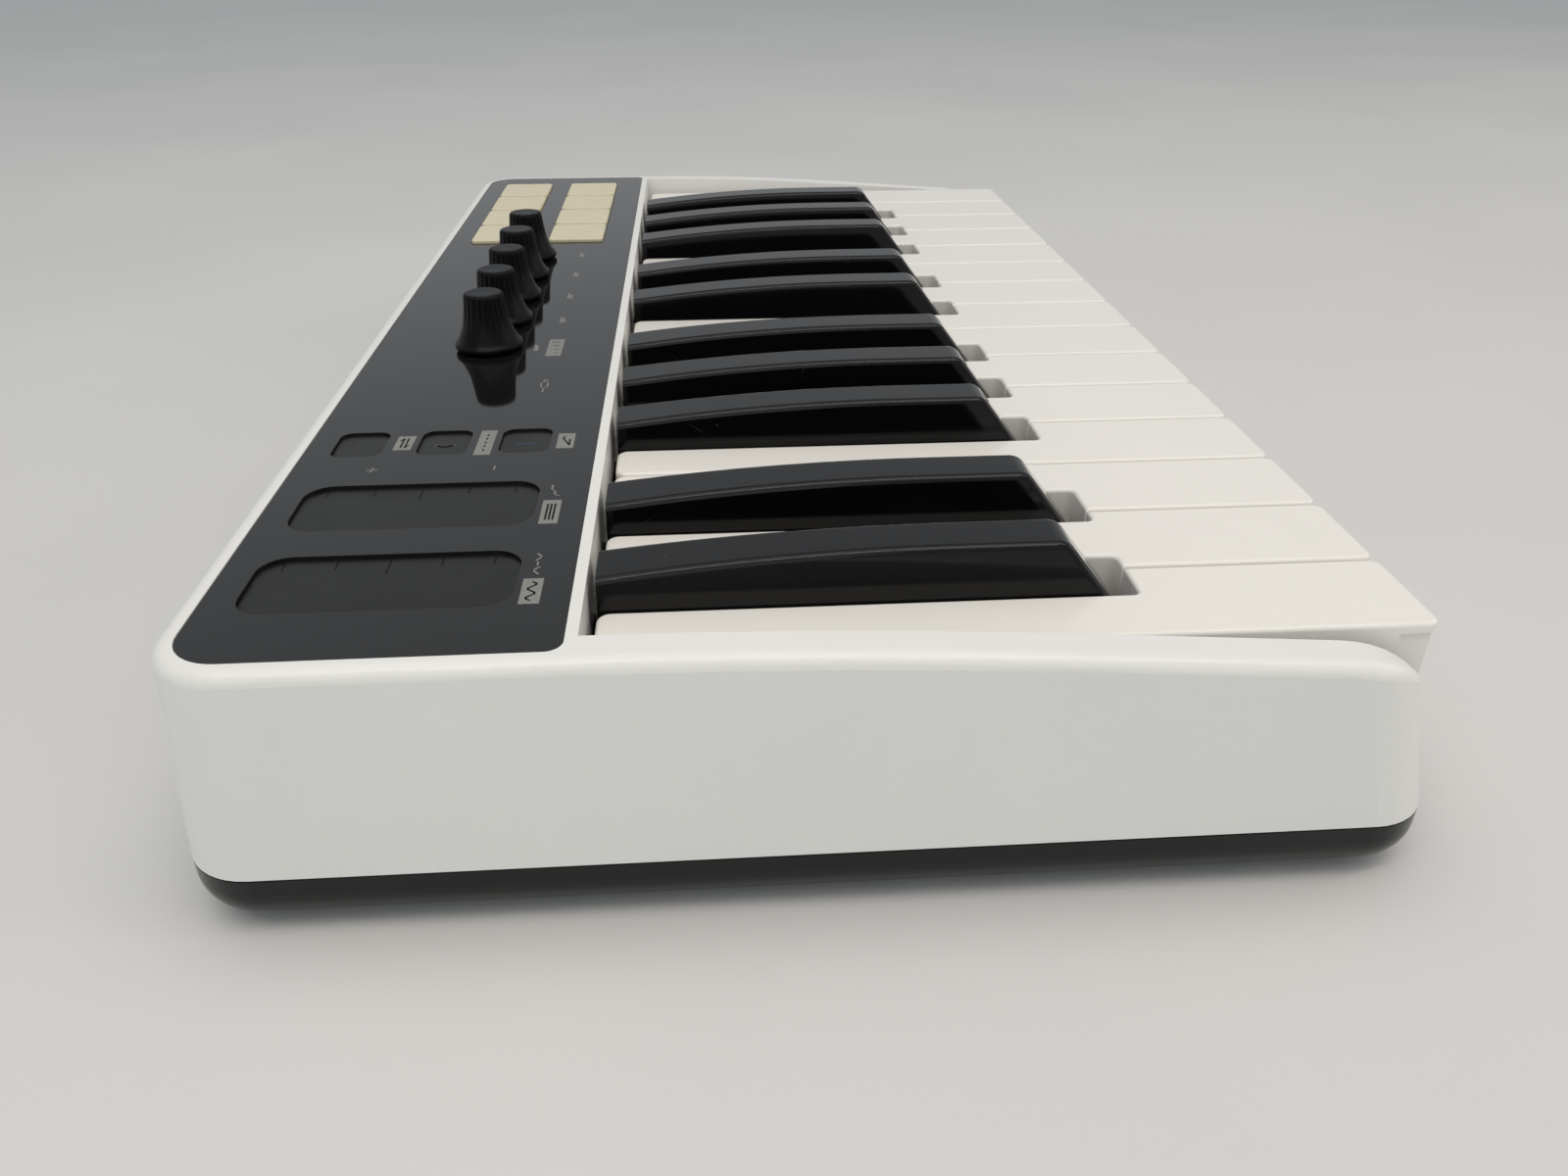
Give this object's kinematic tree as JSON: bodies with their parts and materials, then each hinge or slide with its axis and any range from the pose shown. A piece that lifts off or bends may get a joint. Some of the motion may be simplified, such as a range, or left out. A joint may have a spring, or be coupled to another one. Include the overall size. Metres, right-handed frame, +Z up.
{
  "type": "midi keyboard",
  "caption": "Compact two-octave controller keyboard with sloped cheeks, black control strip, touch strips, knobs and soft pads.",
  "frame": {"origin": "middle of the footprint, on the surface the feet stand on", "axes": "+X from the bass end to the treble end, -Y towards the player, +Z up"},
  "size_m": [0.375, 0.2214, 0.0681],
  "materials": {
    "shell_white": "satin moulded white plastic",
    "key_white": "glossy moulded white plastic",
    "key_black": "high gloss black plastic",
    "fascia_black": "glossy black panel",
    "touch_black": "fine textured black plastic",
    "base_black": "satin black plastic",
    "knob_black": "satin black plastic",
    "pad_cream": "translucent cream silicone",
    "steel": "plated steel",
    "contact_nickel": "nickel plated",
    "felt_red": "pressed felt",
    "board_green": "solder-masked circuit board",
    "dome_silicone": "grey silicone",
    "foot_rubber": "black rubber",
    "socket_black": "black moulded plastic",
    "printed_ink": "silver-grey screen-printed ink"
  },
  "bodies": {
    "case": {"top_shell": "shell_white", "bottom_shell": "base_black", "fascia_panel": "fascia_black", "touch_strips": "touch_black", "touch_buttons": "touch_black", "encoders": "steel", "control_board": "board_green", "key_bed": "steel", "key_pivot_rod": "steel", "key_return_springs": "steel", "key_stop_felts": "felt_red", "key_contact_board": "board_green", "rubber_dome_strips": "dome_silicone", "main_board": "board_green", "line_jacks": "socket_black", "combo_input_jack": "socket_black", "usb_port": "steel", "dc_inlet": "socket_black", "battery_contacts": "contact_nickel", "rubber_feet": "foot_rubber", "case_screws": "steel"},
    "battery_door": {"battery_door": "base_black"},
    "white_key_01": {"white_key_01": "key_white"},
    "black_key_01": {"black_key_01": "key_black"},
    "white_key_02": {"white_key_02": "key_white"},
    "black_key_02": {"black_key_02": "key_black"},
    "white_key_03": {"white_key_03": "key_white"},
    "white_key_04": {"white_key_04": "key_white"},
    "black_key_03": {"black_key_03": "key_black"},
    "white_key_05": {"white_key_05": "key_white"},
    "black_key_04": {"black_key_04": "key_black"},
    "white_key_06": {"white_key_06": "key_white"},
    "black_key_05": {"black_key_05": "key_black"},
    "white_key_07": {"white_key_07": "key_white"},
    "white_key_08": {"white_key_08": "key_white"},
    "black_key_06": {"black_key_06": "key_black"},
    "white_key_09": {"white_key_09": "key_white"},
    "black_key_07": {"black_key_07": "key_black"},
    "white_key_10": {"white_key_10": "key_white"},
    "white_key_11": {"white_key_11": "key_white"},
    "black_key_08": {"black_key_08": "key_black"},
    "white_key_12": {"white_key_12": "key_white"},
    "black_key_09": {"black_key_09": "key_black"},
    "white_key_13": {"white_key_13": "key_white"},
    "black_key_10": {"black_key_10": "key_black"},
    "white_key_14": {"white_key_14": "key_white"},
    "white_key_15": {"white_key_15": "key_white"},
    "knob_1": {"knob_1": "knob_black"},
    "knob_2": {"knob_2": "knob_black"},
    "knob_3": {"knob_3": "knob_black"},
    "knob_4": {"knob_4": "knob_black"},
    "knob_5": {"knob_5": "knob_black"},
    "drum_pad_1": {"drum_pad_1": "pad_cream"},
    "drum_pad_2": {"drum_pad_2": "pad_cream"},
    "drum_pad_3": {"drum_pad_3": "pad_cream"},
    "drum_pad_4": {"drum_pad_4": "pad_cream"},
    "drum_pad_5": {"drum_pad_5": "pad_cream"},
    "drum_pad_6": {"drum_pad_6": "pad_cream"},
    "drum_pad_7": {"drum_pad_7": "pad_cream"},
    "drum_pad_8": {"drum_pad_8": "pad_cream"}
  },
  "joints": [
    {"name": "white_key_01_press", "type": "hinge", "parent": "case", "child": "white_key_01", "pos_m": [-0.1645, 0.06, 0.03], "axis": [1, 0, 0], "range_deg": [0, 3.2], "stiffness_Nm_per_rad": 0.35, "springref_deg": -6.88, "deforming": ["rubber_dome_strips", "key_return_springs"]},
    {"name": "black_key_01_press", "type": "hinge", "parent": "case", "child": "black_key_01", "pos_m": [-0.1554, 0.06, 0.03], "axis": [1, 0, 0], "range_deg": [0, 3.2], "stiffness_Nm_per_rad": 0.35, "springref_deg": -6.88, "deforming": ["rubber_dome_strips", "key_return_springs"]},
    {"name": "white_key_02_press", "type": "hinge", "parent": "case", "child": "white_key_02", "pos_m": [-0.141, 0.06, 0.03], "axis": [1, 0, 0], "range_deg": [0, 3.2], "stiffness_Nm_per_rad": 0.35, "springref_deg": -6.88, "deforming": ["rubber_dome_strips", "key_return_springs"]},
    {"name": "black_key_02_press", "type": "hinge", "parent": "case", "child": "black_key_02", "pos_m": [-0.1266, 0.06, 0.03], "axis": [1, 0, 0], "range_deg": [0, 3.2], "stiffness_Nm_per_rad": 0.35, "springref_deg": -6.88, "deforming": ["rubber_dome_strips", "key_return_springs"]},
    {"name": "white_key_03_press", "type": "hinge", "parent": "case", "child": "white_key_03", "pos_m": [-0.1175, 0.06, 0.03], "axis": [1, 0, 0], "range_deg": [0, 3.2], "stiffness_Nm_per_rad": 0.35, "springref_deg": -6.88, "deforming": ["rubber_dome_strips", "key_return_springs"]},
    {"name": "white_key_04_press", "type": "hinge", "parent": "case", "child": "white_key_04", "pos_m": [-0.094, 0.06, 0.03], "axis": [1, 0, 0], "range_deg": [0, 3.2], "stiffness_Nm_per_rad": 0.35, "springref_deg": -6.88, "deforming": ["rubber_dome_strips", "key_return_springs"]},
    {"name": "black_key_03_press", "type": "hinge", "parent": "case", "child": "black_key_03", "pos_m": [-0.08565, 0.06, 0.03], "axis": [1, 0, 0], "range_deg": [0, 3.2], "stiffness_Nm_per_rad": 0.35, "springref_deg": -6.88, "deforming": ["rubber_dome_strips", "key_return_springs"]},
    {"name": "white_key_05_press", "type": "hinge", "parent": "case", "child": "white_key_05", "pos_m": [-0.0705, 0.06, 0.03], "axis": [1, 0, 0], "range_deg": [0, 3.2], "stiffness_Nm_per_rad": 0.35, "springref_deg": -6.88, "deforming": ["rubber_dome_strips", "key_return_springs"]},
    {"name": "black_key_04_press", "type": "hinge", "parent": "case", "child": "black_key_04", "pos_m": [-0.05875, 0.06, 0.03], "axis": [1, 0, 0], "range_deg": [0, 3.2], "stiffness_Nm_per_rad": 0.35, "springref_deg": -6.88, "deforming": ["rubber_dome_strips", "key_return_springs"]},
    {"name": "white_key_06_press", "type": "hinge", "parent": "case", "child": "white_key_06", "pos_m": [-0.047, 0.06, 0.03], "axis": [1, 0, 0], "range_deg": [0, 3.2], "stiffness_Nm_per_rad": 0.35, "springref_deg": -6.88, "deforming": ["rubber_dome_strips", "key_return_springs"]},
    {"name": "black_key_05_press", "type": "hinge", "parent": "case", "child": "black_key_05", "pos_m": [-0.03185, 0.06, 0.03], "axis": [1, 0, 0], "range_deg": [0, 3.2], "stiffness_Nm_per_rad": 0.35, "springref_deg": -6.88, "deforming": ["rubber_dome_strips", "key_return_springs"]},
    {"name": "white_key_07_press", "type": "hinge", "parent": "case", "child": "white_key_07", "pos_m": [-0.0235, 0.06, 0.03], "axis": [1, 0, 0], "range_deg": [0, 3.2], "stiffness_Nm_per_rad": 0.35, "springref_deg": -6.88, "deforming": ["rubber_dome_strips", "key_return_springs"]},
    {"name": "white_key_08_press", "type": "hinge", "parent": "case", "child": "white_key_08", "pos_m": [0, 0.06, 0.03], "axis": [1, 0, 0], "range_deg": [0, 3.2], "stiffness_Nm_per_rad": 0.35, "springref_deg": -6.88, "deforming": ["rubber_dome_strips", "key_return_springs"]},
    {"name": "black_key_06_press", "type": "hinge", "parent": "case", "child": "black_key_06", "pos_m": [0.0091, 0.06, 0.03], "axis": [1, 0, 0], "range_deg": [0, 3.2], "stiffness_Nm_per_rad": 0.35, "springref_deg": -6.88, "deforming": ["rubber_dome_strips", "key_return_springs"]},
    {"name": "white_key_09_press", "type": "hinge", "parent": "case", "child": "white_key_09", "pos_m": [0.0235, 0.06, 0.03], "axis": [1, 0, 0], "range_deg": [0, 3.2], "stiffness_Nm_per_rad": 0.35, "springref_deg": -6.88, "deforming": ["rubber_dome_strips", "key_return_springs"]},
    {"name": "black_key_07_press", "type": "hinge", "parent": "case", "child": "black_key_07", "pos_m": [0.0379, 0.06, 0.03], "axis": [1, 0, 0], "range_deg": [0, 3.2], "stiffness_Nm_per_rad": 0.35, "springref_deg": -6.88, "deforming": ["rubber_dome_strips", "key_return_springs"]},
    {"name": "white_key_10_press", "type": "hinge", "parent": "case", "child": "white_key_10", "pos_m": [0.047, 0.06, 0.03], "axis": [1, 0, 0], "range_deg": [0, 3.2], "stiffness_Nm_per_rad": 0.35, "springref_deg": -6.88, "deforming": ["rubber_dome_strips", "key_return_springs"]},
    {"name": "white_key_11_press", "type": "hinge", "parent": "case", "child": "white_key_11", "pos_m": [0.0705, 0.06, 0.03], "axis": [1, 0, 0], "range_deg": [0, 3.2], "stiffness_Nm_per_rad": 0.35, "springref_deg": -6.88, "deforming": ["rubber_dome_strips", "key_return_springs"]},
    {"name": "black_key_08_press", "type": "hinge", "parent": "case", "child": "black_key_08", "pos_m": [0.07885, 0.06, 0.03], "axis": [1, 0, 0], "range_deg": [0, 3.2], "stiffness_Nm_per_rad": 0.35, "springref_deg": -6.88, "deforming": ["rubber_dome_strips", "key_return_springs"]},
    {"name": "white_key_12_press", "type": "hinge", "parent": "case", "child": "white_key_12", "pos_m": [0.094, 0.06, 0.03], "axis": [1, 0, 0], "range_deg": [0, 3.2], "stiffness_Nm_per_rad": 0.35, "springref_deg": -6.88, "deforming": ["rubber_dome_strips", "key_return_springs"]},
    {"name": "black_key_09_press", "type": "hinge", "parent": "case", "child": "black_key_09", "pos_m": [0.10575, 0.06, 0.03], "axis": [1, 0, 0], "range_deg": [0, 3.2], "stiffness_Nm_per_rad": 0.35, "springref_deg": -6.88, "deforming": ["rubber_dome_strips", "key_return_springs"]},
    {"name": "white_key_13_press", "type": "hinge", "parent": "case", "child": "white_key_13", "pos_m": [0.1175, 0.06, 0.03], "axis": [1, 0, 0], "range_deg": [0, 3.2], "stiffness_Nm_per_rad": 0.35, "springref_deg": -6.88, "deforming": ["rubber_dome_strips", "key_return_springs"]},
    {"name": "black_key_10_press", "type": "hinge", "parent": "case", "child": "black_key_10", "pos_m": [0.13265, 0.06, 0.03], "axis": [1, 0, 0], "range_deg": [0, 3.2], "stiffness_Nm_per_rad": 0.35, "springref_deg": -6.88, "deforming": ["rubber_dome_strips", "key_return_springs"]},
    {"name": "white_key_14_press", "type": "hinge", "parent": "case", "child": "white_key_14", "pos_m": [0.141, 0.06, 0.03], "axis": [1, 0, 0], "range_deg": [0, 3.2], "stiffness_Nm_per_rad": 0.35, "springref_deg": -6.88, "deforming": ["rubber_dome_strips", "key_return_springs"]},
    {"name": "white_key_15_press", "type": "hinge", "parent": "case", "child": "white_key_15", "pos_m": [0.1645, 0.06, 0.03], "axis": [1, 0, 0], "range_deg": [0, 3.2], "stiffness_Nm_per_rad": 0.35, "springref_deg": -6.88, "deforming": ["rubber_dome_strips", "key_return_springs"]},
    {"name": "knob_1_turn", "type": "hinge", "parent": "case", "child": "knob_1", "pos_m": [-0.03525, 0.07455, 0.0533], "axis": [0, 0, 1], "continuous": true},
    {"name": "knob_2_turn", "type": "hinge", "parent": "case", "child": "knob_2", "pos_m": [-0.01275, 0.07455, 0.0533], "axis": [0, 0, 1], "continuous": true},
    {"name": "knob_3_turn", "type": "hinge", "parent": "case", "child": "knob_3", "pos_m": [0.00975, 0.07455, 0.0533], "axis": [0, 0, 1], "continuous": true},
    {"name": "knob_4_turn", "type": "hinge", "parent": "case", "child": "knob_4", "pos_m": [0.03225, 0.07455, 0.0533], "axis": [0, 0, 1], "continuous": true},
    {"name": "knob_5_turn", "type": "hinge", "parent": "case", "child": "knob_5", "pos_m": [0.05475, 0.07455, 0.0533], "axis": [0, 0, 1], "continuous": true},
    {"name": "drum_pad_1_press", "type": "slide", "parent": "case", "child": "drum_pad_1", "axis": [0, 0, -1], "range_m": [0, 0.0008], "stiffness_N_per_m": 400, "springref_m": -0.001},
    {"name": "drum_pad_2_press", "type": "slide", "parent": "case", "child": "drum_pad_2", "axis": [0, 0, -1], "range_m": [0, 0.0008], "stiffness_N_per_m": 400, "springref_m": -0.001},
    {"name": "drum_pad_3_press", "type": "slide", "parent": "case", "child": "drum_pad_3", "axis": [0, 0, -1], "range_m": [0, 0.0008], "stiffness_N_per_m": 400, "springref_m": -0.001},
    {"name": "drum_pad_4_press", "type": "slide", "parent": "case", "child": "drum_pad_4", "axis": [0, 0, -1], "range_m": [0, 0.0008], "stiffness_N_per_m": 400, "springref_m": -0.001},
    {"name": "drum_pad_5_press", "type": "slide", "parent": "case", "child": "drum_pad_5", "axis": [0, 0, -1], "range_m": [0, 0.0008], "stiffness_N_per_m": 400, "springref_m": -0.001},
    {"name": "drum_pad_6_press", "type": "slide", "parent": "case", "child": "drum_pad_6", "axis": [0, 0, -1], "range_m": [0, 0.0008], "stiffness_N_per_m": 400, "springref_m": -0.001},
    {"name": "drum_pad_7_press", "type": "slide", "parent": "case", "child": "drum_pad_7", "axis": [0, 0, -1], "range_m": [0, 0.0008], "stiffness_N_per_m": 400, "springref_m": -0.001},
    {"name": "drum_pad_8_press", "type": "slide", "parent": "case", "child": "drum_pad_8", "axis": [0, 0, -1], "range_m": [0, 0.0008], "stiffness_N_per_m": 400, "springref_m": -0.001},
    {"name": "battery_door_hinge", "type": "hinge", "parent": "case", "child": "battery_door", "pos_m": [0, -0.063, 0.0023], "axis": [-1, 0, 0], "range_deg": [0, 75]}
  ]
}
